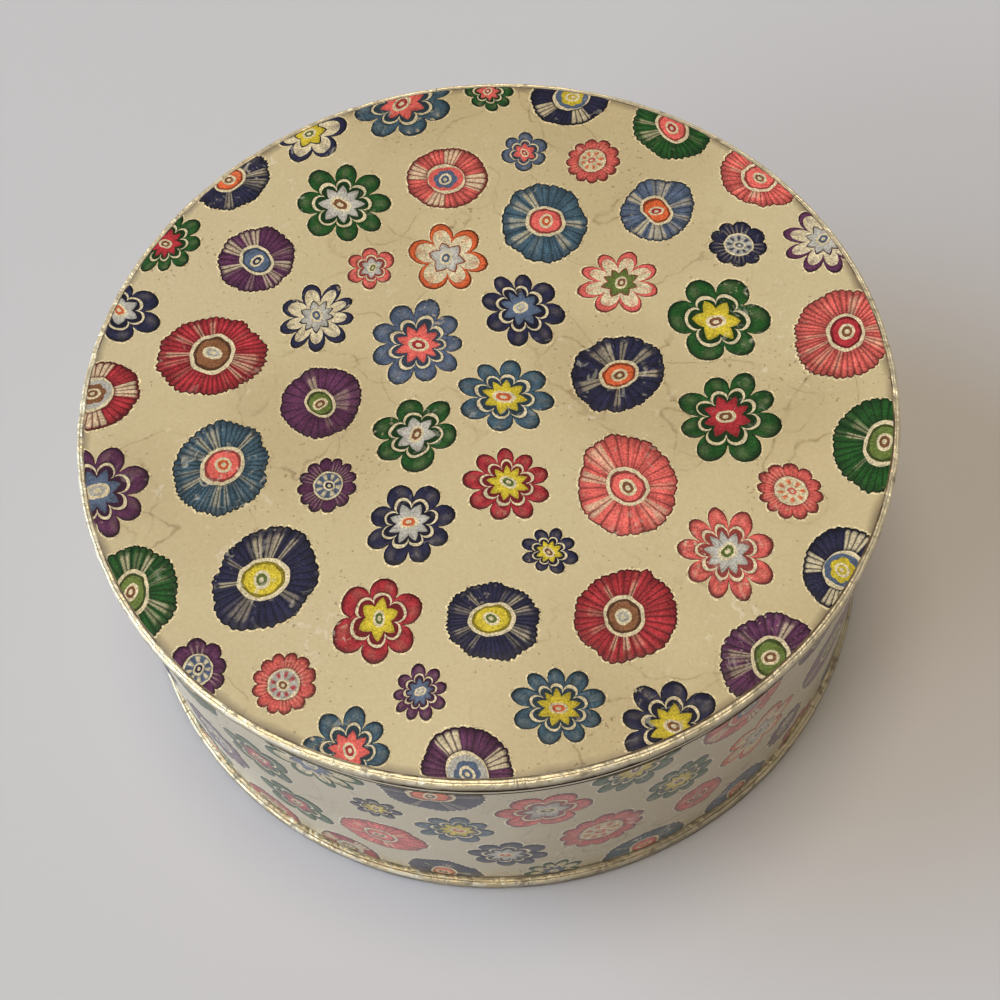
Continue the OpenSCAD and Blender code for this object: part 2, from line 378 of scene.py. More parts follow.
def gilt_finish(name, colours, wear_and_shade):
    """Gilt foil paper, cracked at its creases, rubbed along its edge and dark along the paper or rim beside
    it, with painted shade under its edge, in its fold and on one side.

    The wear_and_shade argument is how much of it is tarnished and dirty, and how much painted shade its side
    away from the light gets, from 0 to 1.
    """
    finish = Finish(name)
    marks = {}
    for mark in ("crease", "crest", "edge_line_and_shade", "dulled_and_shaded", "bare"):
        marks[mark] = finish.node("ShaderNodeAttribute", attribute_name=mark).outputs["Fac"]
    gilt = colours.gilt
    cloud = finish.patchy((130, 5, 0.3), 0.35, 0.7, 0.5 * wear_and_shade, 0.45 + 0.5 * wear_and_shade)
    colour = finish.blend(cloud, gilt, tinted(gilt, 0.78, 0.7, 0.56))
    rub = finish.times(finish.patchy((260, 5, 0.5), 0.48, 0.6), marks["crest"])
    colour = finish.blend(finish.times(rub, 0.8), colour, colours.rubbed)
    # Tarnish with painted shade, darkest on the side away from the light.
    tarnish_and_shade = finish.times(marks["dulled_and_shaded"], finish.patchy((90, 4), 0.3, 0.6, 0.6, 1.0))
    colour = finish.blend(tarnish_and_shade, colour, tinted(gilt, 0.32, 0.32, 0.34))
    soil_and_shade = finish.times(marks["crease"], finish.patchy((300, 3), 0.3, 0.6, 0.05, 0.4))
    for gap, width, seed in ((14 * MM, 0.18 * MM, 3.0), (5.1 * MM, 0.09 * MM, 40.0)):
        cracks = hairlines(finish, gap, width, seed)
        soil_and_shade = finish.larger(soil_and_shade, finish.times(cracks, 0.9))
    grime = finish.patchy((520, 4), 0.62 - 0.08 * wear_and_shade, 0.7 - 0.04 * wear_and_shade, 0.0, 0.6)
    soil_and_shade = finish.larger(soil_and_shade, finish.times(grime, marks["bare"]))
    # The dark line beside the paper or rim, with the painted shadow under the edge and the painted shade in
    # the fold.
    line = finish.times(marks["edge_line_and_shade"], finish.patchy((240, 4), 0.3, 0.55, 0.45, 1.0))
    soil_and_shade = finish.larger(soil_and_shade, line)
    colour = finish.blend(soil_and_shade, colour, colours.dirt_and_shade)
    clean = finish.remap(soil_and_shade, 0.0, 1.0, 0.78, 0.05)
    metal = finish.times(finish.math("SUBTRACT", 1.0, rub), clean)
    worn = finish.larger(finish.larger(rub, soil_and_shade), tarnish_and_shade)
    rough = finish.remap(worn, 0.0, 1.0, 0.36, 0.68)
    crumple = finish.plus(finish.noise(800, 5), finish.times(finish.noise(300, 3, 0.6), 6.0))
    finish.bump(crumple, 0.14 * MM, 0.9)
    return finish.set(Base_Color=colour, Metallic=metal, Roughness=rough)


def border_shadow_finish(name, dirt_and_shade):
    """Near-black matt colour of the pressed border lines, uneven: a painted shadow under the lid's gilt
    edge.
    """
    finish = Finish(name)
    dry = finish.patchy((140, 5), 0.35, 0.7, 0.0, 0.7)
    shade = finish.blend(dry, tinted(dirt_and_shade, 0.3, 0.3, 0.3), dirt_and_shade)
    return finish.set(Base_Color=shade, Roughness=1.0, Specular_IOR_Level=0.0)


def lining_finish(name, colour):
    """Plain matt lining paper, faintly fibrous and yellowed."""
    finish = Finish(name)
    cloud = finish.patchy((30, 5, 0.3), 0.35, 0.7, 0.0, 0.4)
    aged = finish.blend(cloud, colour, tinted(colour, 0.86, 0.78, 0.62))
    fibre = finish.patchy((1500, 4, 1.2), 0.58, 0.68, 0.0, 0.22)
    aged = finish.blend(fibre, aged, (0.4, 0.3, 0.18))
    finish.bump(finish.noise(700, 6), 0.08 * MM, 0.5)
    return finish.set(Base_Color=aged, Roughness=0.75)


def board_finish(name, colour):
    """Bare chipboard with flecks of the pulp that it is made from."""
    finish = Finish(name)
    pulp = finish.patchy((420, 6, 0.6), 0.3, 0.7, 0.0, 0.5)
    aged = finish.blend(pulp, colour, tinted(colour, 0.72, 0.68, 0.6))
    fleck = finish.patchy((1100, 2), 0.66, 0.74, 0.0, 0.7)
    aged = finish.blend(fleck, aged, (0.16, 0.12, 0.08))
    finish.bump(finish.noise(900, 6), 0.12 * MM, 0.6)
    return finish.set(Base_Color=aged, Roughness=0.85)


def satin_finish(name, colour):
    """Woven satin with fine threads and a soft sheen."""
    finish = Finish(name)
    cloud = finish.patchy((60, 3), 0.3, 0.7, 0.0, 0.3)
    shade = finish.blend(cloud, colour, tinted(colour, 0.8, 0.68, 0.66))
    finish.bump(finish.noise(2600, 2), 0.05 * MM, 0.5)
    rough = finish.patchy((200, 3), 0.3, 0.7, 0.27, 0.4)
    return finish.set(Base_Color=shade, Roughness=rough, Sheen_Weight=0.35, Sheen_Roughness=0.4)


def velour_finish(name, colour):
    """Short pile, lighter where it stands up and darker where it lies down."""
    finish = Finish(name)
    pile = finish.noise(1400, 5, 0.4)
    lay = finish.patchy((90, 4, 0.6), 0.35, 0.65, 0.0, 0.35)
    shade = finish.blend(lay, colour, tinted(colour, 0.84, 0.74, 0.68))
    shade = finish.blend(finish.remap(pile, 0.35, 0.65, 0.35, 0.0), shade, (0.45, 0.34, 0.28), "MULTIPLY")
    finish.bump(pile, 0.5 * MM, 0.9)
    return finish.set(Base_Color=shade, Roughness=0.95, Sheen_Weight=0.7, Sheen_Roughness=0.5)


def clear_selection():
    """Leaves edit mode and deselects everything."""
    if bpy.context.object and bpy.context.object.mode != "OBJECT":
        bpy.ops.object.mode_set(mode="OBJECT")
    bpy.ops.object.select_all(action="DESELECT")


def take(piece):
    """Selects one piece alone and makes it the active one."""
    clear_selection()
    piece.select_set(True)
    bpy.context.view_layer.objects.active = piece


def edit(piece):
    """Enters edit mode on one piece with nothing selected."""
    take(piece)
    bpy.ops.object.mode_set(mode="EDIT")
    bpy.ops.mesh.select_all(action="DESELECT")


def select_faces(piece, wanted):
    """Selects the faces of a piece in edit mode that pass a test."""
    bpy.ops.mesh.select_mode(type="FACE")
    shape = bmesh.from_edit_mesh(piece.data)
    for face in shape.faces:
        if wanted(face):
            face.select_set(True)
    bmesh.update_edit_mesh(piece.data)


def close_up(piece, merge=1e-6):
    """Merges doubled vertices and turns the faces outwards."""
    edit(piece)
    bpy.ops.mesh.select_all(action="SELECT")
    bpy.ops.mesh.remove_doubles(threshold=merge)
    bpy.ops.mesh.normals_make_consistent(inside=False)
    bpy.ops.object.mode_set(mode="OBJECT")


def points_of(piece):
    """Vertex places as an array."""
    flat = np.empty(len(piece.data.vertices) * 3)
    piece.data.vertices.foreach_get("co", flat)
    return flat.reshape(-1, 3)


def place_points(piece, points):
    """Puts the vertices at the places given."""
    piece.data.vertices.foreach_set("co", np.ascontiguousarray(points).ravel())
    piece.data.update()


def radius_of(points):
    """Distance of points from the box's axis."""
    return np.hypot(points[:, 0], points[:, 1])


def angle_of(points):
    """Angle of points round the box's axis, from +X."""
    return np.arctan2(points[:, 1], points[:, 0])


def turned_by(turn, across, along):
    """Flat places turned by an angle, as two columns."""
    cos, sin = math.cos(turn), math.sin(turn)
    return np.column_stack([across * cos - along * sin, across * sin + along * cos])


def round_points(radius, angle, height):
    """Places given by radius, angle and height, as rows."""
    return np.column_stack([radius * np.cos(angle), radius * np.sin(angle), height])


def smooth(piece, angle):
    """Smooth shading, with edges sharper than the angle kept."""
    take(piece)
    bpy.ops.object.shade_smooth_by_angle(angle=math.radians(angle))


def join(pieces):
    """Joins pieces into the first of them."""
    clear_selection()
    for piece in pieces:
        piece.select_set(True)
    bpy.context.view_layer.objects.active = pieces[0]
    if len(pieces) > 1:
        bpy.ops.object.join()
    return pieces[0]


def copy_of(piece):
    """A copy with its own mesh."""
    twin = piece.copy()
    twin.data = piece.data.copy()
    bpy.context.scene.collection.objects.link(twin)
    return twin


def hand_over(piece, name, body, slot, material, *stands_for):
    """Names a finished piece, gives it its material and body, and hides the CAD nodes that it stands for;
    slot is not used.
    """
    piece.name = name
    piece.data.name = name
    piece.data.materials.clear()
    piece.data.materials.append(material)
    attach(piece, body)
    if stands_for:
        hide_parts(*stands_for)
    return piece


def spin_outline(outline, steps, angle=TURN, copies=1):
    """A closed outline of (radius, height) points, spun about the box's axis from +X, in equal copies."""
    clear_selection()
    bpy.ops.mesh.primitive_circle_add(vertices=len(outline), radius=1)
    piece = bpy.context.object
    place_points(piece, np.array([(radius, 0.0, height) for radius, height in outline]))
    edit(piece)
    bpy.ops.mesh.select_all(action="SELECT")
    if angle < TURN:
        bpy.ops.mesh.edge_face_add()
    whole = copies == 1 and angle == TURN
    about = {"center": (0, 0, 0), "axis": (0, 0, 1)}
    bpy.ops.mesh.spin(steps=steps // copies, angle=angle / copies, use_auto_merge=whole, **about)
    if copies > 1:
        bpy.ops.mesh.select_all(action="SELECT")
        bpy.ops.mesh.spin(steps=copies - 1, dupli=True, angle=angle * (copies - 1) / copies, **about)
    close_up(piece)
    return piece


def arc(centre_r, centre_z, radius, start, end, steps):
    """Points of (radius, height) along an arc, angles in degrees."""
    points = []
    for step in range(steps + 1):
        angle = math.radians(start + (end - start) * step / steps)
        points.append((centre_r + radius * math.cos(angle), centre_z + radius * math.sin(angle)))
    return points


def gilt_outline(low, high, sizes):
    """Section of the foil paper round the edge of a board."""
    turn, foil = sizes.edge_round, sizes.foil_t
    lap = EDGE_R - sizes.foil_lap
    core = EDGE_R - turn
    flat = (lap, PRINT_R - 0.4 * MM, PRINT_R + 0.2 * MM, FOIL_LINE_R)
    outline = [(radius, high) for radius in (*flat, core - 0.18 * MM)]
    outline += [(core - FOLD_IN, high - 0.05 * MM)]
    outline += arc(core, high - turn, turn, 90, 0, 7)
    outline += arc(core, low + turn, turn, 0, -90, 7)
    outline += [(radius, low) for radius in reversed(flat)]
    outline += [(lap, low + foil)]
    outline += arc(core, low + turn, turn - foil, -90, 0, 3)
    outline += arc(core, high - turn, turn - foil, 0, 90, 3)
    outline += [(lap, high - foil)]
    return outline


def crinkle_foil(piece, sizes, seed, seat, wear_and_shade):
    """Creases across the foil and small dents, with where they lie, its dark lines, painted shade and
    tarnish written on the mesh.

    Seat is how dark the foil is painted inside the line of the paper or rim that stands on it, and
    wear_and_shade how tarnished it is and how much painted shade it gets on the side away from the light.
    """
    draw = random.Random(seed)
    around = TURN * EDGE_R
    creases = []
    along = 0.0
    while along < around:
        depth, lean, width = draw.uniform(0.1, 1.0), draw.uniform(-0.6, 0.6), draw.uniform(0.16, 0.34) * MM
        creases.append((along, depth, lean, width))
        along += sizes.crease_gap * draw.uniform(0.25, 1.9)
    starts = np.array([crease[0] for crease in creases])
    points = points_of(piece)
    radius = radius_of(points)
    low, high = points[:, 2].min(), points[:, 2].max()
    middle = (low + high) / 2
    crease_mark, fold = np.zeros(len(points)), np.zeros(len(points))
    moved = points.copy()
    for index, point in enumerate(points):
        place = (math.atan2(point[1], point[0]) % TURN) * EDGE_R
        slant = (EDGE_R - radius[index]) * 0.5 + (point[2] - middle) * 0.3
        mark = 0.0
        nearest = int(np.searchsorted(starts, place))
        for pick in (nearest - 1, nearest, nearest + 1):
            start, depth, lean, width = creases[pick % len(creases)]
            away = (place + lean * slant - start + around / 2) % around - around / 2
            mark = max(mark, depth * math.exp(-((away / width) ** 2)))
        crease_mark[index] = mark
        spot = Vector(point)
        dent = noise.noise(spot * 240.0) * 0.1 * MM + noise.noise(spot * 650.0) * 0.06 * MM
        fold[index] = min(1.0, max(0.0, 0.5 + 2.2 * noise.noise(spot * 22.0)))
        sink = sizes.crease_depth * mark + max(dent, 0.0)
        shrink = 1.0 - sink / radius[index]
        moved[index, 0] *= shrink
        moved[index, 1] *= shrink
        moved[index, 2] += (middle - point[2]) / (abs(middle - point[2]) + 0.3 * MM) * sink * 0.8
    place_points(piece, moved)
    crest = np.clip((radius - (EDGE_R - 0.8 * sizes.edge_round)) / (0.5 * sizes.edge_round), 0.0, 1.0)
    crest *= np.clip((points[:, 2] - middle) / (0.3 * MM), 0.0, 1.0)
    # A dark line on the foil just inside the paper or rim that stands on it; on the base it is painted shade
    # where the lid's rim stands.
    inner_line = np.clip((FOIL_LINE_R - radius) / (0.14 * MM), 0.0, 1.0) * seat
    # Painted shadow along the underside of the edge.
    painted_under_shadow = np.clip((middle - 0.1 * MM - points[:, 2]) / (0.3 * MM), 0.0, 1.0) * 0.95
    # Painted shade in the fold of the foil near the top of its rounded edge.
    fold_r = EDGE_R - sizes.edge_round - FOLD_IN
    fold *= np.clip(1.3 - np.abs(radius - fold_r) / (0.09 * MM), 0.0, 1.0) * (points[:, 2] > middle)
    # The three darken the foil's colour as one mark.
    edge_line_and_shade = np.maximum(np.maximum(inner_line, painted_under_shadow), 0.9 * fold)
    # Tarnish with painted shade, strongest on the side away from the light.
    turned = np.cos(angle_of(points) - TARNISH_AND_SHADE_SIDE)
    dulled_and_shaded = wear_and_shade * np.clip((turned - 0.45) / 0.3, 0.0, 1.0)
    bare = np.clip((radius - SIDE_R + 0.3 * MM) / (0.3 * MM), 0.1, 1.0)
    marks = {"crease": crease_mark, "crest": crest, "edge_line_and_shade": edge_line_and_shade, "dulled_and_shaded": dulled_and_shaded * bare, "bare": bare}
    for name, values in marks.items():
        mark = piece.data.attributes.new(name, "FLOAT", "POINT")
        mark.data.foreach_set("value", values.astype(np.float32))


def lap_height(along, sizes):
    """How far the side paper stands out over its own start, along its length from the front."""
    seam = SIDE_LENGTH / 2 + sizes.seam_lap / 2
    return sizes.seam_step * np.clip((along - (seam - sizes.seam_lap)) / sizes.seam_lap, 0.0, 1.0)


def rosette_blank():
    """A closed disc of radius 1 whose top is cut into rings round its middle, for copying."""
    clear_selection()
    bpy.ops.mesh.primitive_cylinder_add(vertices=SPOKES, radius=1, depth=1, end_fill_type="NGON")
    blank = bpy.context.object
    edit(blank)
    select_faces(blank, lambda face: face.normal.z > 0.9)
    for _ in range(RINGS):
        bpy.ops.mesh.inset(thickness=1 / (RINGS + 1), depth=0)
    bpy.ops.mesh.poke()
    bpy.ops.object.mode_set(mode="OBJECT")
    return blank


class RosetteMap:
    """Ring and spoke of the blank's vertices, and zone, side and spoke of its face corners."""

    def __init__(self, blank):
        points = points_of(blank)
        radius = radius_of(points)
        step = 1 / (RINGS + 1) / math.cos(math.pi / SPOKES)
        self.top = points[:, 2] > 0
        self.ring = np.where(self.top, np.rint((1 - radius) / step).astype(int), 0)
        self.ring[radius < 0.02] = RINGS + 1
        angle = angle_of(points)
        self.spoke = np.rint(angle / TURN * SPOKES).astype(int) % SPOKES
        corners = np.empty(len(blank.data.loops), dtype=int)
        blank.data.loops.foreach_get("vertex_index", corners)
        self.zone = np.zeros(len(corners), dtype=int)
        self.corner_spoke = self.spoke[corners]
        for face in blank.data.polygons:
            span = range(face.loop_start, face.loop_start + face.loop_total)
            held = [corners[loop] for loop in span]
            if face.normal.z > 0.5:
                self.zone[list(span)] = min(self.ring[index] for index in held)
                rim = next(self.spoke[index] for index in held if self.ring[index] <= RINGS)
                for loop in span:
                    if self.ring[corners[loop]] > RINGS:
                        self.corner_spoke[loop] = rim
        self.inner = (self.ring[corners] > self.zone).astype(int)
        self.inner[~self.top[corners]] = 0


SPOKE_TURN = np.arange(SPOKES) * TURN / SPOKES


def petal_wave(count, blunt, turn=SPOKE_TURN):
    """1 at the middle of each petal and 0 in the notches between them."""
    return np.abs(np.cos(count * turn / 2)) ** blunt


def star_wave(count, turn=SPOKE_TURN):
    """1 at each point of a star and 0 in the corners between them, in straight lines."""
    part = (count * turn / TURN + 0.5) % 1.0
    return 1 - 2 * np.abs(part - 0.5)


def uneven(draw, count, amount):
    """One factor near 1 for each petal, repeated along the spokes."""
    factors = np.array([1 + draw.uniform(-amount, amount) for _ in range(count)])
    return factors[np.rint(count * SPOKE_TURN / TURN).astype(int) % count]


def ragged(draw, amount):
    """A factor near 1 that differs from spoke to spoke, as at the rough edge of a print."""
    return np.array([1 + draw.uniform(-amount, amount) for _ in range(SPOKES)])


def inked(ink, shade):
    """An ink, darker or lighter along the spokes."""
    return np.clip(np.outer(np.broadcast_to(shade, SPOKES), ink), 0.0, 1.0)


def over(under, amount, ink):
    """An ink laid over colours along the spokes."""
    part = np.broadcast_to(amount, SPOKES)[:, None]
    return under * (1 - part) + np.asarray(ink)[None, :] * part


def wobble(draw, amount):
    """A factor near 1 that wanders along the spokes, as in a line drawn by hand."""
    total = np.ones(SPOKES)
    for waves in range(2, 12):
        share = amount * draw.uniform(-1, 1) / math.sqrt(waves)
        total += share * np.cos(waves * SPOKE_TURN + draw.uniform(0, TURN))
    return total


def rounded(draw, size, stretch=0.0):
    """A ring that is nearly a circle, or an oval if it is stretched."""
    return size * wobble(draw, 0.03) * (1 + stretch * np.cos(2 * SPOKE_TURN + draw.uniform(0, TURN)))


def shaded(part, edge=0.33, middle=1.06):
    """Shade across a zone: dark along its outlines, as drawn with a brush."""
    return float(np.interp(part, (0.0, 0.2, 0.5, 0.8, 1.0), (edge, 0.86, middle, 0.9, edge)))


def centred(part):
    """Mottling across a zone, strongest in its middle."""
    return math.sin(math.pi * part)


def crowned(part, low=0.35, high=1.0):
    """Height across a zone that is raised in its middle."""
    return low + (high - low) * math.sin(math.pi * min(1.0, 0.1 + 0.85 * part))


def zone(rings, outer, ink, lift=0.7, mottled=0.3, shade=1.0):
    """Rings of one ink. Ink, lift and mottling may be functions of the way through the zone, from 0 to 1."""
    tint = ink if callable(ink) else lambda part: inked(ink, shade)
    rise = lift if callable(lift) else lambda part: lift
    speckle = mottled if callable(mottled) else lambda part: mottled
    return rings, outer, tint, rise, speckle


def border(outer, ink, inks):
    """The pale line that the printing leaves round a blossom, and the dark outline inside it."""
    pale = zone(1, outer + inks["halo"], inks["paper"], lambda part: 0.04 + 0.2 * part, 0.0, 1.3)
    dark = zone(1, outer, lambda part: inked(ink, 0.08 + 0.22 * part), lambda part: 0.3 + 0.2 * part, 0.0)
    return [pale, dark]


def heart_rings(draw, size, line, heart, stretch):
    """The last three rings of a blossom: a light one, an inked one and its eye."""
    outer = rounded(draw, size, stretch)
    return [
        zone(1, outer, line, 0.9, 0.1),
        zone(1, outer * 0.66 * wobble(draw, 0.05), heart, 0.5, 0.5, 0.9),
        zone(1, outer * 0.3 * wobble(draw, 0.06), line, 0.85, 0.2, 0.95),
    ]


def lobed_blossom(draw, size, scheme, inks):
    """Round petals with a pointed star, ringed by light lines, on a ringed heart."""
    petal, star, heart = (inks[name] for name in scheme)
    line = inks["cream"]
    count = draw.choice((6, 8, 8, 9))
    wave = petal_wave(count, 0.55) * uneven(draw, count, 0.15)
    notch = draw.uniform(0.56, 0.66)
    outer = size * (notch + (1 - notch) * wave) * wobble(draw, 0.014) * ragged(draw, 0.008)
    inner = size * (0.43 + 0.2 * wave) * wobble(draw, 0.03)
    light = inner - size * 0.065 * wobble(draw, 0.25)
    tips = size * (0.29 + 0.19 * star_wave(count)) * wobble(draw, 0.03)
    veins = 0.94 + 0.1 * np.cos(3 * count * SPOKE_TURN + draw.uniform(0, TURN))
    gleam = np.clip(np.cos(count * SPOKE_TURN + draw.uniform(-1.2, 1.2)) - 0.45, 0.0, 1.0)

    def petals(part):
        tone = inked(petal, shaded(part) * veins)
        return over(tone, 0.14 * gleam * math.sin(math.pi * part), line)

    return [
        *border(outer, petal, inks),
        zone(5, outer - inks["outline"], petals, crowned, centred),
        zone(1, inner, line, 0.35, 0.1),
        zone(1, light, petal, 0.6, 0.2, 0.4),
        zone(3, tips, lambda part: inked(star, np.interp(part, (0, 0.3, 1), (0.66, 1.0, 1.18))),
             lambda part: 0.8 - 0.2 * part, 0.7),
        *heart_rings(draw, size * draw.uniform(0.16, 0.2), line, heart, 0.2),
    ]


def rib_spokes(draw, ribs):
    """Shade of each spoke of a ruff, and where its dark lines between two ribs are."""
    between = (np.arange(SPOKES) % (SPOKES // ribs)) == 0
    return np.where(between, 0.34, uneven(draw, ribs, 0.2) * ragged(draw, 0.2)), between


def ridges(shade, low, rise):
    """Height through a ruff, whose ribs stand up between their dark lines."""
    return lambda part: low + rise * crowned(part, 0.0, 1.0) + rise * (shade > 0.6)


def ribbed_blossom(draw, size, scheme, inks):
    """A ruff of narrow ribs round a ringed oval heart."""
    petal, ring, heart = (inks[name] for name in scheme)
    line = inks["cream"]
    ribs = draw.choice((24, 36, 36, 48))
    shade, between = rib_spokes(draw, ribs)
    outer = size * wobble(draw, 0.035) * uneven(draw, ribs, 0.022) * np.where(between, 0.97, 1.0)
    outer *= ragged(draw, 0.014)
    streak = np.clip(uneven(draw, ribs, 1.0) - 1.35, 0.0, 0.65) * np.where(between, 0.0, 1.0)
    start = draw.uniform(0.1, 0.4)
    stretch = draw.uniform(0.05, 0.2)
    core = rounded(draw, size * draw.uniform(0.38, 0.47), stretch)

    def ruff(part):
        tone = inked(petal, shade * shaded(part, 0.6, 1.14))
        return over(tone, streak * (1.0 if part > start else 0.1), line)

    return [
        *border(outer, petal, inks),
        zone(6, outer - inks["outline"], ruff, ridges(shade, 0.3, 0.35), 0.75),
        zone(1, core, line, 0.8, 0.15),
        zone(1, core * 0.83 * wobble(draw, 0.03), ring, 0.5, 0.3, 0.4),
        zone(2, core * 0.7 * wobble(draw, 0.04), ring, lambda part: 0.6 + 0.2 * part, 0.9, 1.1),
        *heart_rings(draw, size * 0.17, line, heart, stretch),
    ]


def outlined_blossom(draw, size, scheme, inks):
    """Petals drawn as a heavy outline with a light field and a star inside."""
    petal, star, heart = (inks[name] for name in scheme)
    line = inks["cream"]
    count = draw.choice((6, 8, 9))
    wave = petal_wave(count, 0.7) * uneven(draw, count, 0.09)
    outer = size * (0.6 + 0.4 * wave) * wobble(draw, 0.015) * ragged(draw, 0.008)
    inner = outer - size * 0.19 * wobble(draw, 0.12)
    fold = np.clip(np.cos(count * SPOKE_TURN) - 0.72, 0.0, 1.0) * 2.4
    star_edge = size * (0.31 + 0.17 * star_wave(count)) * wobble(draw, 0.03)

    return [
        *border(outer, petal, inks),
        zone(3, outer - inks["outline"], lambda part: inked(petal, shaded(part, 0.6, 1.14)),
             crowned, centred),
        zone(2, inner, lambda part: over(inked(line, 0.96), fold * (1 - part) * 0.8, petal), 0.35, 0.2),
        zone(1, star_edge, petal, 0.6, 0.2, 0.4),
        zone(4, star_edge * 0.9, lambda part: inked(star, np.interp(part, (0, 0.4, 1), (0.75, 1.05, 1.15))),
             lambda part: 0.75 - 0.15 * part, 0.7),
        *heart_rings(draw, size * 0.17, line, heart, 0.15),
    ]


def beaded_blossom(draw, size, scheme, inks):
    """Scalloped petals round a field with a ring of beads."""
    petal, field, bead, heart = (inks[name] for name in scheme)
    line = inks["cream"]
    count = draw.choice((9, 12))
    wave = petal_wave(count, 0.6) * uneven(draw, count, 0.06)
    outer = size * (0.83 + 0.17 * wave) * wobble(draw, 0.015) * ragged(draw, 0.012)
    beads = np.clip(np.cos(8 * SPOKE_TURN) + 0.1, 0.0, 1.0) ** 0.4
    veins = 0.88 + 0.16 * np.cos(3 * count * SPOKE_TURN)
    strokes = np.clip(np.cos(3 * count * SPOKE_TURN) - 0.3, 0.0, 1.0) * (uneven(draw, count, 1.0) > 0.9)

    def petals(part):
        return over(inked(petal, shaded(part) * veins), 0.6 * part * strokes, line)

    def dotted(part):
        return over(inked(field, 0.95), beads * math.sin(math.pi * part) ** 0.5, bead)

    return [
        *border(outer, petal, inks),
        zone(5, outer - inks["outline"], petals, crowned, centred),
        zone(1, rounded(draw, size * 0.5), line, 0.75, 0.1),
        zone(4, rounded(draw, size * 0.44), dotted,
             lambda part: 0.45 + 0.4 * beads * math.sin(math.pi * part), 0.3),
        *heart_rings(draw, size * 0.19, line, heart, 0.1),
    ]


def banded_blossom(draw, size, scheme, inks):
    """A round blossom whose ribs change between two inks by quarters."""
    petal, field, heart = (inks[name] for name in scheme)
    line = inks["cream"]
    shade, between = rib_spokes(draw, 36)
    quarters = (np.cos(4 * SPOKE_TURN + draw.uniform(0, 1)) > 0.4) * np.where(between, 0.0, 0.8)
    outer = size * wobble(draw, 0.025) * np.where(between, 0.98, 1.0) * ragged(draw, 0.012)

    def ruff(part):
        return over(inked(petal, shade * shaded(part)), quarters * (part > 0.15) * (part < 0.9), line)

    return [
        *border(outer, petal, inks),
        zone(6, outer - inks["outline"], ruff, ridges(shade, 0.4, 0.3), 0.7),
        zone(1, rounded(draw, size * 0.47, 0.06), line, 0.8, 0.1),
        zone(2, rounded(draw, size * 0.41, 0.06), field, 0.5, 0.7, 0.95),
        zone(1, size * (0.25 + 0.05 * petal_wave(6, 0.6)) * wobble(draw, 0.04), heart, 0.7, 0.4),
        *heart_rings(draw, size * 0.17, line, heart, 0.1),
    ]


# inks of the blossoms of each kind, from the petals inwards
SCHEMES = {
    "lobed": (
        "navy slate dove", "bottle coral crimson", "bottle straw umber", "teal coral crimson",
        "navy dove orange", "coral dove leaf", "plum slate dove", "bottle dove umber", "teal straw orange",
        "navy straw umber", "slate coral crimson", "bottle crimson umber", "crimson straw leaf",
    ),
    "ribbed": (
        "navy orange umber", "bottle leaf umber", "coral coral umber", "plum leaf umber",
        "crimson umber dove", "slate orange crimson", "bottle coral crimson", "coral crimson umber",
        "plum slate navy", "teal coral orange", "navy straw leaf",
    ),
    "outlined": (
        "navy straw leaf", "bottle slate dove", "orange dove slate", "coral leaf umber", "navy dove slate",
        "plum dove slate",
    ),
    "beaded": (
        "coral dove crimson umber", "navy dove navy slate", "plum slate cream navy",
        "coral cream orange coral",
    ),
    "banded": ("plum dove slate", "navy slate straw", "crimson dove umber", "coral coral slate"),
}
# how each kind is drawn, and its size beside a lobed one
KINDS = {
    "lobed": (lobed_blossom, 1.0),
    "ribbed": (ribbed_blossom, 0.88),
    "outlined": (outlined_blossom, 1.0),
    "beaded": (beaded_blossom, 0.92),
    "banded": (banded_blossom, 0.88),
}
KIND_CYCLE = "lobed ribbed outlined ribbed lobed beaded lobed ribbed lobed banded".split()
BLOSSOM_SIZES = (9.6, 8.4, 7.6, 6.6, 8.6, 7.4, 5.4, 6.8, 7.8, 4.4)  # radii in mm


def settle(spots, sizes, gap, hold, steps=500):
    """Pushes overlapping spots apart until the blossoms lie evenly; hold keeps them on the paper."""
    need = sizes[:, None] + sizes[None, :] + gap
    for _ in range(steps):
        apart = spots[:, None, :] - spots[None, :, :]
        distance = np.hypot(apart[:, :, 0], apart[:, :, 1])
        np.fill_diagonal(distance, 1.0)
        push = np.clip(need - distance, 0.0, None)
        np.fill_diagonal(push, 0.0)
        away = apart / np.maximum(distance, 1e-9)[:, :, None]
        spots = hold(spots + 0.22 * (away * push[:, :, None]).sum(1))
    return spots


def blossom_sizes(count):
    """Radii of the blossoms, in a fixed mix."""
    return np.array([BLOSSOM_SIZES[index % len(BLOSSOM_SIZES)] * MM for index in range(count)])


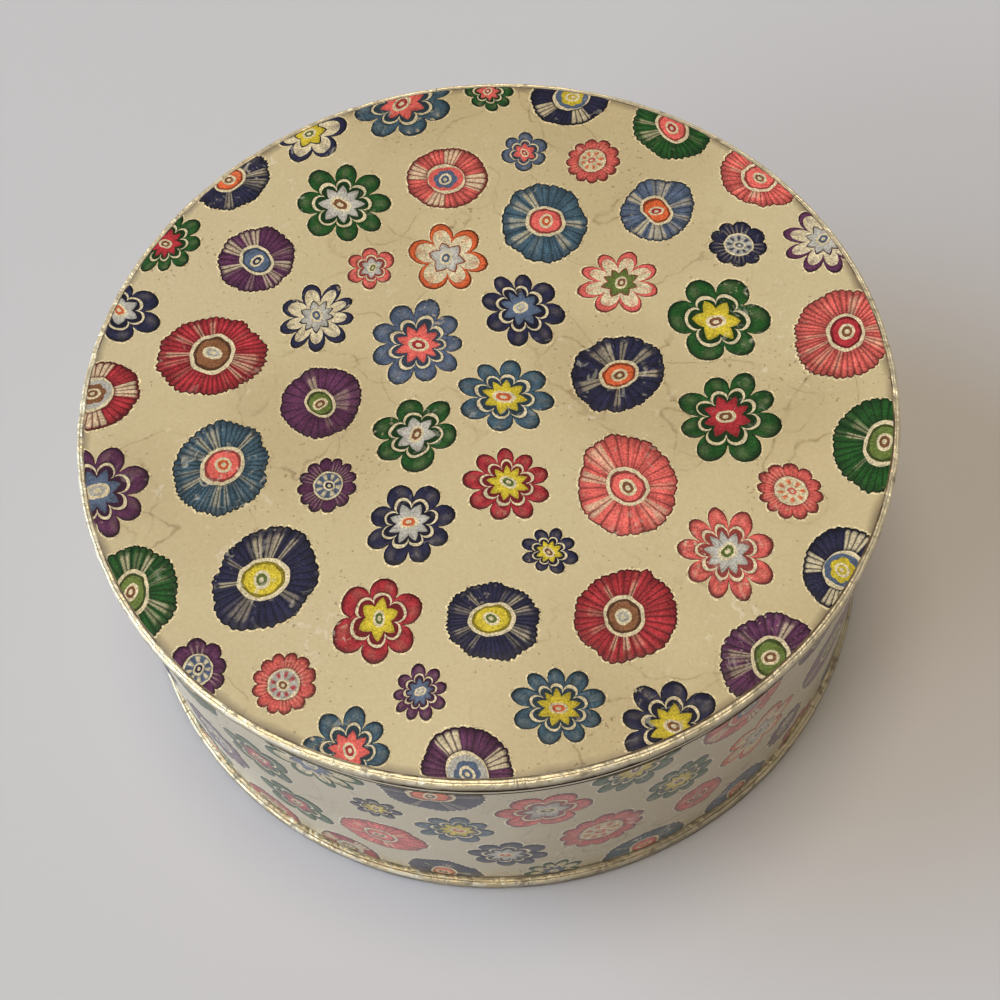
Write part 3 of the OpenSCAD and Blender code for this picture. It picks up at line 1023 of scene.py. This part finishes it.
def grow_blossom(blank, grid, draw, kind, scheme, size, spot, inks, reach, lay, relief):
    """One blossom: a copy of the blank, shaped and coloured ring by ring, cut at the paper's edge."""
    grow, share = KINDS[kind]
    size *= share
    zones = grow(draw, size, scheme, inks)
    radii, lifts, tones = [zones[0][1]], [np.full(SPOKES, zones[0][3](0.0))], []
    for index, (rings, outer, tint, lift, speckle) in enumerate(zones):
        inner = zones[index + 1][1] if index + 1 < len(zones) else np.zeros(SPOKES)
        for step in range(rings):
            start, end = step / rings, (step + 1) / rings
            radii.append(outer + (inner - outer) * end)
            lifts.append(np.broadcast_to(lift(end), SPOKES))
            tones.append([
                np.column_stack([tint(part), np.full(SPOKES, speckle(part))]) for part in (start, end)
            ])
    if len(tones) != RINGS + 1:
        raise ValueError(f"a {kind} blossom has {len(tones)} rings, and the blank has {RINGS + 1}")
    radii, lifts, tones = (np.array(rows) for rows in (radii, lifts, tones))
    warp = 0.1 * np.sin(SPOKE_TURN + draw.uniform(0, TURN))
    warp += 0.06 * np.sin(2 * SPOKE_TURN + draw.uniform(0, TURN))
    angle = (SPOKE_TURN + warp)[grid.spoke]
    radius = radii[grid.ring, grid.spoke]
    shift = 0.08 * size * np.clip(grid.ring / RINGS, 0.0, 1.0)
    lean = draw.uniform(0, TURN)
    across = radius * np.cos(angle) * (1 + draw.uniform(0.0, 0.1)) + shift * math.cos(lean)
    along = radius * np.sin(angle) * (1 - draw.uniform(0.0, 0.1)) + shift * math.sin(lean)
    offset = turned_by(draw.uniform(0, TURN), across, along)
    offset *= reach(spot, offset)[:, None]
    height = np.where(grid.top, lifts[grid.ring, grid.spoke] * relief, -0.4 * relief)
    blossom = copy_of(blank)
    place_points(blossom, lay(spot + offset, height))
    ink = blossom.data.color_attributes.new("ink", "FLOAT_COLOR", "CORNER")
    colours = tones[grid.zone, grid.inner, grid.corner_spoke].astype(np.float32)
    ink.data.foreach_set("color", colours.ravel())
    return blossom


def grow_scatter(place, seed, spots, sizes, reach, lay, paper, ink):
    """All blossoms of one paper, joined by kind and handed over."""
    settings = bpy.context.scene.powder_sizes
    palette = bpy.context.scene.powder_inks
    inks = {name: np.array(getattr(palette, name)) for name in BoxInks.__annotations__}
    inks.update(paper=np.array(paper), outline=settings.outline, halo=settings.halo)
    draw = random.Random(seed)
    blank = rosette_blank()
    grid = RosetteMap(blank)
    groups = {kind: [] for kind in KINDS}
    used = {kind: draw.randrange(12) for kind in KINDS}
    for index, (spot, size) in enumerate(zip(spots, sizes)):
        kind = KIND_CYCLE[(index * 7 + seed) % len(KIND_CYCLE)]
        if size < 5 * MM and kind in ("beaded", "banded"):
            kind = "ribbed"
        scheme = SCHEMES[kind][used[kind] % len(SCHEMES[kind])].split()
        used[kind] += 1
        groups[kind].append(
            grow_blossom(blank, grid, draw, kind, scheme, size, spot, inks, reach, lay, settings.relief)
        )
    bpy.data.objects.remove(blank)
    for kind, blossoms in groups.items():
        if blossoms:
            group = join(blossoms)
            smooth(group, 45)
            hand_over(group, f"{place}_blossoms_{kind}", "lid", "printed_paper", ink)


def cut_at_circle(radius):
    """Shares of the way from a spot that a blossom's points may go before they leave a disc."""
    def reach(spot, offset):
        square = np.maximum((offset ** 2).sum(1), 1e-18)
        middle = offset @ spot
        root = np.sqrt(np.maximum(middle ** 2 - square * (spot @ spot - radius ** 2), 0.0))
        return np.minimum(1.0, (root - middle) / square)
    return reach


def cut_at_band(left, right, low, high):
    """Shares of the way from a spot that a blossom's points may go before they leave a strip."""
    def reach(spot, offset):
        share = np.ones(len(offset))
        for axis, start, end in ((0, left, right), (1, low, high)):
            step = offset[:, axis]
            room = np.where(step > 0, end - spot[axis], start - spot[axis])
            part = np.where(np.abs(step) > 1e-12, room / np.where(step == 0, 1, step), 1.0)
            share = np.minimum(share, part)
        return np.clip(share, 0.0, 1.0)
    return reach


class POWDERBOX_OT_printed_top(bpy.types.Operator):
    """Lays the printed paper disc on the lid"""

    bl_idname = "powder_box.printed_top"
    bl_label = "Printed Top"

    def execute(self, context):
        sizes, colours = context.scene.powder_sizes, context.scene.powder_colours
        thick = PAPER - RELIEF_ROOM * sizes.relief
        clear_selection()
        bpy.ops.mesh.primitive_cylinder_add(
            vertices=288, radius=PRINT_R, depth=thick, location=(0, 0, PRINT_LOW + thick / 2)
        )
        disc = bpy.context.object
        bpy.ops.object.transform_apply(location=True, rotation=False, scale=False)
        edit(disc)
        select_faces(disc, lambda face: face.normal.z > 0.9)
        for width in (0.25, 0.75, 2, 4, 7, 10, 12, 13, 10):
            bpy.ops.mesh.inset(thickness=width * MM, depth=0)
        bpy.ops.mesh.poke()
        bpy.ops.object.mode_set(mode="OBJECT")
        points = points_of(disc)
        upper = points[:, 2] > PRINT_LOW + thick / 2
        points[upper & (radius_of(points) > PRINT_R - 0.1 * MM), 2] -= 0.03 * MM
        place_points(disc, points)
        smooth(disc, 30)
        paper = printed_finish("printed_paper_top", colours.paper, colours, "top", TOP_GLOSS)
        hand_over(disc, "printed_top", "lid", "printed_paper", paper, "lid_print")
        return {"FINISHED"}


class POWDERBOX_OT_printed_side(bpy.types.Operator):
    """Wraps the printed paper round the lid and turns it in under the rim"""

    bl_idname = "powder_box.printed_side"
    bl_label = "Printed Side"

    def execute(self, context):
        sizes, colours = context.scene.powder_sizes, context.scene.powder_colours
        bend = SIDE_R - RIM_R
        rim = SIDE_LOW + RIM_R
        face = self.face_outline(rim)
        outline = face[:-1] + arc(bend, rim, RIM_R, 0, -180, 12)
        outline += [(bend - RIM_R, SIDE_LOW + CUFF), (bend - RIM_R + PAPER, SIDE_LOW + CUFF)]
        outline += arc(bend, rim, RIM_R - PAPER, -180, 0, 12)
        outline += [(SIDE_R - PAPER, SIDE_TOP)]
        wrap = spin_outline(outline, 288)
        width = sizes.seam_lap / SIDE_R
        sunk = SIDE_R - 0.2 * MM
        lap = spin_outline([(sunk, SIDE_TOP), *face, (sunk, rim)], 12, width)
        points = points_of(lap)
        angle = angle_of(points)
        share = (angle - angle.min()) / (angle.max() - angle.min())
        radius = radius_of(points)
        radius += np.where(radius > sunk + 0.05 * MM, sizes.seam_step * share, 0.0)
        place = math.pi / 2 - width / 2 + share * width
        place_points(lap, round_points(radius, place, points[:, 2]))
        close_up(lap)
        side = join([wrap, lap])
        smooth(side, 30)
        paper = printed_finish("printed_paper_side", colours.paper_side, colours, "side", SIDE_GLOSS)
        hand_over(side, "printed_side", "lid", "printed_paper", paper, "lid_wrap")
        # The pressed border lines are coloured near-black and matt, a painted shadow under the lid's gilt
        # edge.
        side.data.materials.append(border_shadow_finish("border_painted_shadow", colours.dirt_and_shade))
        edit(side)
        select_faces(side, self.in_border_line)
        side.active_material_index = 1
        bpy.ops.object.material_slot_assign()
        bpy.ops.object.mode_set(mode="OBJECT")
        return {"FINISHED"}

    def face_outline(self, rim):
        """The paper's outer face from its top down to the rim, with the pressed border lines."""
        pressed = SIDE_R - BORDER_DEPTH
        outline = [(SIDE_R, SIDE_TOP)]
        for start, end in BORDER_LINES:
            outline += [(SIDE_R, SIDE_TOP - start), (pressed, SIDE_TOP - start - 0.05 * MM)]
            outline += [(pressed, SIDE_TOP - end + 0.05 * MM), (SIDE_R, SIDE_TOP - end)]
        below = outline[-1][1]
        return outline + [(SIDE_R, below + (rim - below) * part / 14) for part in range(1, 15)]

    def in_border_line(self, face):
        """Whether a face of the side paper lies in one of the pressed lines."""
        middle = face.calc_center_median()
        depth = SIDE_TOP - middle.z
        outside = math.hypot(middle.x, middle.y) > SIDE_R - 0.15 * MM
        return outside and any(start < depth < end for start, end in BORDER_LINES)


class POWDERBOX_OT_gilt_edges(bpy.types.Operator):
    """Wraps gilt foil paper round the edges of the lid's and the base's boards"""

    bl_idname = "powder_box.gilt_edges"
    bl_label = "Gilt Edges"

    def execute(self, context):
        sizes, colours = context.scene.powder_sizes, context.scene.powder_colours
        # Each edge: name, body, CAD node, low, high, seed, how dark the line inside it is painted, and how
        # worn it is and how much painted shade its far side gets.
        for name, body, node, low, high, seed, seat, wear_and_shade in (
            ("gilt_lid_edge", "lid", "lid_edging", LID_EDGE_LOW, LID_EDGE_TOP, 4, 1.0, 0.25),
            ("gilt_base_edge", "base", "base_edging", BASE_EDGE_LOW, BASE_EDGE_TOP, 9, 0.25, 0.7),
        ):
            foil = gilt_finish(name + "_foil", colours, wear_and_shade)
            edge = spin_outline(gilt_outline(low, high, sizes), 1152, copies=8)
            crinkle_foil(edge, sizes, seed, seat, wear_and_shade)
            smooth(edge, 50)
            hand_over(edge, name, body, "gilt_foil", foil, node)
        return {"FINISHED"}


class POWDERBOX_OT_top_blossoms(bpy.types.Operator):
    """Scatters printed blossoms over the lid's top"""

    bl_idname = "powder_box.top_blossoms"
    bl_label = "Top Blossoms"

    def execute(self, context):
        sizes, colours = context.scene.powder_sizes, context.scene.powder_colours
        draw = random.Random(21)
        radii = blossom_sizes(sizes.top_blossoms)
        limit = PRINT_R - 1.2 * MM
        spots = []
        for index in range(len(radii)):
            distance = limit * math.sqrt((index + 0.5) / len(radii))
            angle = index * GOLDEN_ANGLE + draw.uniform(-0.2, 0.2)
            spots.append((distance * math.cos(angle), distance * math.sin(angle)))
        order = list(range(len(spots)))
        draw.shuffle(order)

        def hold(points):
            return points * np.minimum(1.0, limit / np.maximum(radius_of(points), 1e-9))[:, None]

        spots = settle(np.array(spots)[order], radii, sizes.blossom_gap, hold)
        level = PRINT_LOW + PAPER - RELIEF_ROOM * sizes.relief

        def lay(flat, height):
            return np.column_stack([flat, level + height])

        ink = ink_finish("printed_ink", colours.stain, TOP_GLOSS)
        cut = cut_at_circle(PRINT_R - 0.05 * MM)
        grow_scatter("top", 3, spots, radii, cut, lay, colours.paper, ink)
        return {"FINISHED"}


class POWDERBOX_OT_side_blossoms(bpy.types.Operator):
    """Scatters printed blossoms round the lid's side"""

    bl_idname = "powder_box.side_blossoms"
    bl_label = "Side Blossoms"

    def execute(self, context):
        sizes, colours = context.scene.powder_sizes, context.scene.powder_colours
        draw = random.Random(33)
        radii = blossom_sizes(sizes.side_blossoms)
        draw.shuffle(radii)
        right = SIDE_LENGTH / 2 + sizes.seam_lap / 2
        left = right - SIDE_LENGTH
        low, high = SIDE_LOW + RIM_R, SIDE_TOP - BORDER_LINES[-1][1] - 0.1 * MM
        inset = 1.0 * MM
        spots = np.array([
            (left + SIDE_LENGTH * (index * GOLDEN_SHARE % 1), low + (high - low) * draw.random())
            for index in range(len(radii))
        ])

        def hold(points):
            return np.clip(points, (left + inset, low + inset), (right - inset, high - inset))

        spots = settle(spots, radii, sizes.blossom_gap, hold)

        def lay(flat, height):
            angle = flat[:, 0] / SIDE_R - math.pi / 2
            radius = SIDE_R + lap_height(flat[:, 0], sizes) + height
            return round_points(radius, angle, flat[:, 1])

        ink = ink_finish("printed_ink_side", colours.stain, SIDE_GLOSS)
        cut = cut_at_band(left, right, low, high)
        grow_scatter("side", 8, spots, radii, cut, lay, colours.paper_side, ink)
        return {"FINISHED"}


class POWDERBOX_OT_boards_and_linings(bpy.types.Operator):
    """Gives the boards and lining papers of the CAD model their finishes"""

    bl_idname = "powder_box.boards_and_linings"
    bl_label = "Boards and Linings"

    def execute(self, context):
        colours = context.scene.powder_colours
        lining = lining_finish("lining_paper", colours.lining)
        board = board_finish("bare_chipboard", colours.board)
        papers = "base_cover neck_cover tub_lining tub_floor lid_lining lid_ceiling shelf_ring"
        boards = "base_board neck_tube spacer_tube lid_board lid_hoop"
        for names, material in ((papers, lining), (boards, board)):
            for name in names.split():
                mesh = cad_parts[name].data
                mesh.materials.clear()
                mesh.materials.append(material)
        return {"FINISHED"}


def inflate(piece, fill, pinned):
    """Swells a padded piece with a cloth simulation at five times its size, held where pinned says."""
    scale, voxel, cap = 5.0, 8 * MM, 6 * MM
    place_points(piece, points_of(piece) * scale)
    take(piece)
    piece.data.remesh_voxel_size = voxel
    bpy.ops.object.voxel_remesh()
    still = points_of(piece)
    held = piece.vertex_groups.new(name="held")
    held.add([int(index) for index in np.flatnonzero(pinned(still / scale))], 1.0, "REPLACE")
    cloth = piece.modifiers.new("filling", "CLOTH")
    cloth.settings.vertex_group_mass = "held"
    cloth.settings.use_pressure = True
    cloth.settings.uniform_pressure_force = 8 * fill
    cloth.settings.effector_weights.gravity = 0
    cloth.settings.quality = 5
    for number in range(1, 21):
        bpy.context.scene.frame_set(number)
    bpy.ops.object.modifier_apply(modifier="filling")
    bpy.context.scene.frame_set(1)
    step = points_of(piece) - still
    length = np.linalg.norm(step, axis=1)
    step *= np.minimum(1.0, cap / np.maximum(length, 1e-9))[:, None]
    place_points(piece, (still + step) / scale)
    piece.vertex_groups.clear()
    take(piece)
    relax = piece.modifiers.new("even", "CORRECTIVE_SMOOTH")
    relax.use_only_smooth = True
    relax.iterations = 6
    bpy.ops.object.modifier_apply(modifier="even")
    finer = piece.modifiers.new("finer", "SUBSURF")
    finer.levels = finer.render_levels = 1
    bpy.ops.object.modifier_apply(modifier="finer")


def cad_copy(name):
    """A copy of a CAD node's mesh with its doubled vertices merged."""
    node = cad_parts[name]
    twin = bpy.data.objects.new(name + "_copy", node.data.copy())
    bpy.context.scene.collection.objects.link(twin)
    close_up(twin, 1e-5)
    return twin


def stitch_row(length, radius, places):
    """Thread stitches, each a copy of one short rounded bar."""
    clear_selection()
    bpy.ops.mesh.primitive_uv_sphere_add(segments=8, ring_count=6, radius=1)
    first = bpy.context.object
    shape = points_of(first) * (length / 2, radius, radius)
    stitches = []
    for place, turn in places:
        stitch = copy_of(first)
        flat = turned_by(turn, shape[:, 0], shape[:, 1])
        place_points(stitch, np.column_stack([flat, shape[:, 2]]) + place)
        stitches.append(stitch)
    bpy.data.objects.remove(first)
    return join(stitches)


class POWDERBOX_OT_puff(bpy.types.Operator):
    """Sews the powder puff: velour pad, satin back, gathered binding and ribbon grip"""

    bl_idname = "powder_box.puff"
    bl_label = "Powder Puff"

    def execute(self, context):
        sizes, colours = context.scene.powder_sizes, context.scene.powder_colours
        satin = satin_finish("puff_satin", colours.satin)
        velour = velour_finish("puff_velour", colours.velour)

        def at_seam(points):
            return (np.abs(points[:, 2] - SEAM_Z) < 1.2 * MM) | (radius_of(points) > PUFF_R - 1.2 * MM)

        pad = cad_copy("puff_pad")
        back = cad_copy("puff_back")
        for half in (pad, back):
            points = points_of(half)
            points[:, 2] = SEAM_Z + (points[:, 2] - SEAM_Z) * 0.94
            place_points(half, points)
            inflate(half, sizes.puff_fill, at_seam)
        self.brush_pile(pad)
        self.gather(back)
        smooth(pad, 80)
        smooth(back, 80)
        hand_over(pad, "puff_velour_pad", "puff", "velour", velour, "puff_pad")
        hand_over(back, "puff_satin_back", "puff", "satin", satin, "puff_back")
        hand_over(self.binding(), "puff_gathered_binding", "puff", "satin", satin, "puff_binding")
        ribbon, length, ends = self.ribbon()
        hand_over(ribbon, "puff_ribbon_grip", "puff", "satin", satin, "puff_ribbon")
        stitches = stitch_row(2.2 * MM, 0.22 * MM, ends)
        smooth(stitches, 80)
        hand_over(stitches, "ribbon_stitches", "puff", "satin", satin)
        return {"FINISHED"}

    def brush_pile(self, pad):
        """Uneven pile under the pad, kept off the shelf that it lies on."""
        points = points_of(pad)
        for index, point in enumerate(points):
            lie = noise.noise(Vector(point) * 180.0) * 0.18 + noise.noise(Vector(point) * 600.0) * 0.1
            points[index, 2] += lie * MM * min(1.0, max(0.0, (SEAM_Z - point[2]) / (3 * MM)))
        above_shelf = radius_of(points) > SHELF_MOUTH - 1.5 * MM
        lowest = np.where(above_shelf, max(SHELF_TOP + 0.15 * MM, PAD_LOW), PAD_LOW)
        points[:, 2] = np.maximum(points[:, 2], lowest)
        place_points(pad, points)

    def gather(self, back):
        """Small gathers of the satin that run in from the binding."""
        points = points_of(back)
        share = radius_of(points) / PUFF_R
        angle = angle_of(points)
        near = np.clip((share - 0.55) / 0.35, 0.0, 1.0) * np.clip((1.0 - share) / 0.05, 0.0, 1.0)
        folds = np.cos(46 * angle + 1.4 * np.sin(5 * angle)) * (0.7 + 0.3 * np.sin(7 * angle + 1.0))
        upper = np.clip((points[:, 2] - SEAM_Z) / (1.5 * MM), 0.0, 1.0)
        points[:, 2] += 0.32 * MM * folds * near * upper
        place_points(back, points)

    def binding(self):
        """The bound edge, ridged where its satin is gathered."""
        minor = (BINDING_TOP - BINDING_LOW) / 2
        major = BINDING_R - minor
        level = (BINDING_LOW + BINDING_TOP) / 2
        clear_selection()
        bpy.ops.mesh.primitive_torus_add(
            major_radius=major, minor_radius=minor, major_segments=480, minor_segments=14,
            location=(0, 0, level),
        )
        roll = bpy.context.object
        bpy.ops.object.transform_apply(location=True, rotation=False, scale=False)
        points = points_of(roll)
        angle = angle_of(points)
        spine = round_points(major, angle, np.full(len(points), level))
        ridge = np.cos(120 * angle + 2 * np.sin(9 * angle)) * (0.7 + 0.3 * np.sin(23 * angle))
        swell = 0.93 + 0.06 * ridge
        swell[radius_of(points) < major] *= 1.3
        offset = (points - spine) * swell[:, None]
        offset[:, 2] = np.clip(offset[:, 2], -minor, minor)
        place_points(roll, spine + offset)
        smooth(roll, 80)
        return roll

    def ribbon(self):
        """The ribbon arched over the back and sewn down at its ends, its flat length and its stitches."""
        half, width, top = RIBBON_HIGH.x, RIBBON_HIGH.y - RIBBON_LOW.y, RIBBON_HIGH.z
        thick = 0.45 * MM
        rise = top - RIBBON_LOW.z - thick
        bend = (half ** 2 + rise ** 2) / (2 * rise)
        span = math.asin(min(1.0, half / bend))
        clear_selection()
        bpy.ops.mesh.primitive_grid_add(x_subdivisions=72, y_subdivisions=10, size=2)
        strip = bpy.context.object
        points = points_of(strip)
        along, across = points[:, 0] * span, points[:, 1]
        sag = 0.25 * MM * across ** 2 + 0.12 * MM * np.sin(9 * along / span + 2 * across)
        height = top - thick / 2 - bend * (1 - np.cos(along)) - sag * np.cos(along / span * math.pi / 2)
        place_points(strip, np.column_stack([bend * np.sin(along), across * width / 2, height]))
        edit(strip)
        bpy.ops.mesh.select_all(action="SELECT")
        bpy.ops.mesh.normals_make_consistent(inside=False)
        bpy.ops.object.mode_set(mode="OBJECT")
        wall = strip.modifiers.new("thickness", "SOLIDIFY")
        wall.thickness = thick
        wall.offset = 0
        bpy.ops.object.modifier_apply(modifier="thickness")
        smooth(strip, 50)
        ends = []
        for side in (-1, 1):
            for row in (0.955, 0.87):
                for step in range(5):
                    turn = side * span * row
                    level = top - bend * (1 - math.cos(turn)) + 0.02 * MM
                    place = (bend * math.sin(turn), (step - 2) * width * 0.19, level)
                    ends.append((np.array(place), math.pi / 2))
        return strip, 2 * span * bend, ends


class POWDERBOX_OT_stage(bpy.types.Operator):
    """Floor, lamps, world and camera"""

    bl_idname = "powder_box.stage"
    bl_label = "Stage"

    def execute(self, context):
        colours = context.scene.powder_colours
        clear_selection()
        bpy.ops.mesh.primitive_plane_add(size=6)
        floor = bpy.context.object
        floor.name = "floor"
        plain = Finish("floor_plain")
        floor.data.materials.append(plain.set(Base_Color=tuple(colours.floor), Roughness=0.7))
        for name, place, width, power, colour in (
            ("window_lamp", (-2.25, 0.45, 1.375), 2.0, 2.25, (0.56, 0.75, 1.0)),
            ("side_lamp", (-1.94, -1.03, 0.8), 1.2, 1.15, (0.87, 0.92, 1.0)),
            ("ceiling_lamp", (-0.04, 0.05, 1.1), 0.6, 1.47, (1.0, 0.85, 0.63)),
        ):
            bpy.ops.object.light_add(type="SUN", location=place)
            lamp = bpy.context.object
            lamp.name = name
            lamp.data.angle = 2 * math.atan(width / 2 / Vector(place).length)
            lamp.data.energy = power
            lamp.data.color = colour
            lamp.rotation_euler = (-Vector(place)).to_track_quat("-Z", "Y").to_euler()
        self.light_studio(context)
        context.scene.view_settings.view_transform = "Standard"
        self.aim_camera(context)
        return {"FINISHED"}

    def light_studio(self, context):
        """A dim warm world that the camera and glossy surfaces see as a pale backdrop."""
        world = bpy.data.worlds.new("studio")
        context.scene.world = world
        world.use_nodes = True
        tree = world.node_tree
        dim = tree.nodes["Background"]
        dim.inputs["Color"].default_value = (1.0, 0.92, 0.8, 1.0)
        dim.inputs["Strength"].default_value = 0.17
        pale = tree.nodes.new("ShaderNodeBackground")
        pale.inputs["Color"].default_value = (1.0, 0.98, 0.97, 1.0)
        pale.inputs["Strength"].default_value = 0.5
        path = tree.nodes.new("ShaderNodeLightPath")
        seen = tree.nodes.new("ShaderNodeMixShader")
        rays = path.outputs["Is Camera Ray"]
        for kind in ("Is Glossy Ray", "Is Transmission Ray"):
            either = tree.nodes.new("ShaderNodeMath")
            either.operation = "MAXIMUM"
            tree.links.new(rays, either.inputs[0])
            tree.links.new(path.outputs[kind], either.inputs[1])
            rays = either.outputs[0]
        tree.links.new(rays, seen.inputs[0])
        tree.links.new(dim.outputs[0], seen.inputs[1])
        tree.links.new(pale.outputs[0], seen.inputs[2])
        tree.links.new(seen.outputs[0], tree.nodes["World Output"].inputs["Surface"])

    def aim_camera(self, context):
        """Puts the camera where the photograph was taken from."""
        lens = bpy.data.cameras.new("photo_camera")
        lens.sensor_width = 36
        lens.lens = CAMERA_LENS
        lens.clip_start = 0.01
        camera = bpy.data.objects.new("photo_camera", lens)
        context.scene.collection.objects.link(camera)
        yaw, pitch, roll = (math.radians(turn) for turn in CAMERA_TURNS)
        ahead = Vector((math.sin(yaw) * math.cos(pitch), math.cos(yaw) * math.cos(pitch), -math.sin(pitch)))
        level = Vector((math.cos(yaw), -math.sin(yaw), 0))
        above = level.cross(ahead)
        right = level * math.cos(roll) + above * math.sin(roll)
        up = above * math.cos(roll) - level * math.sin(roll)
        turned = Matrix((right, up, -ahead)).transposed().to_4x4()
        camera.matrix_world = Matrix.Translation(CAMERA_PLACE) @ turned
        context.scene.camera = camera


OPERATORS = (
    POWDERBOX_OT_printed_top, POWDERBOX_OT_printed_side, POWDERBOX_OT_gilt_edges,
    POWDERBOX_OT_top_blossoms, POWDERBOX_OT_side_blossoms, POWDERBOX_OT_boards_and_linings,
    POWDERBOX_OT_puff, POWDERBOX_OT_stage,
)


class POWDERBOX_PT_panel(bpy.types.Panel):
    """Lists the steps that dress the box"""

    bl_idname = "POWDERBOX_PT_panel"
    bl_label = "Powder Box"
    bl_space_type = "VIEW_3D"
    bl_region_type = "UI"
    bl_category = "Powder Box"

    def draw(self, context):
        for operator in OPERATORS:
            self.layout.operator(operator.bl_idname)
        for group in (context.scene.powder_sizes, context.scene.powder_colours, context.scene.powder_inks):
            for name in group.__annotations__:
                self.layout.prop(group, name)


CLASSES = (BoxSizes, BoxColours, BoxInks, *OPERATORS, POWDERBOX_PT_panel)


def register():
    for item in CLASSES:
        bpy.utils.register_class(item)
    bpy.types.Scene.powder_sizes = bpy.props.PointerProperty(type=BoxSizes)
    bpy.types.Scene.powder_colours = bpy.props.PointerProperty(type=BoxColours)
    bpy.types.Scene.powder_inks = bpy.props.PointerProperty(type=BoxInks)


def unregister():
    for name in ("powder_sizes", "powder_colours", "powder_inks"):
        delattr(bpy.types.Scene, name)
    for item in reversed(CLASSES):
        bpy.utils.unregister_class(item)


def main():
    register()
    bpy.ops.powder_box.printed_top()
    bpy.ops.powder_box.printed_side()
    bpy.ops.powder_box.gilt_edges()
    bpy.ops.powder_box.top_blossoms()
    bpy.ops.powder_box.side_blossoms()
    bpy.ops.powder_box.boards_and_linings()
    bpy.ops.powder_box.puff()
    bpy.ops.powder_box.stage()


if __name__ == "__main__":
    main()
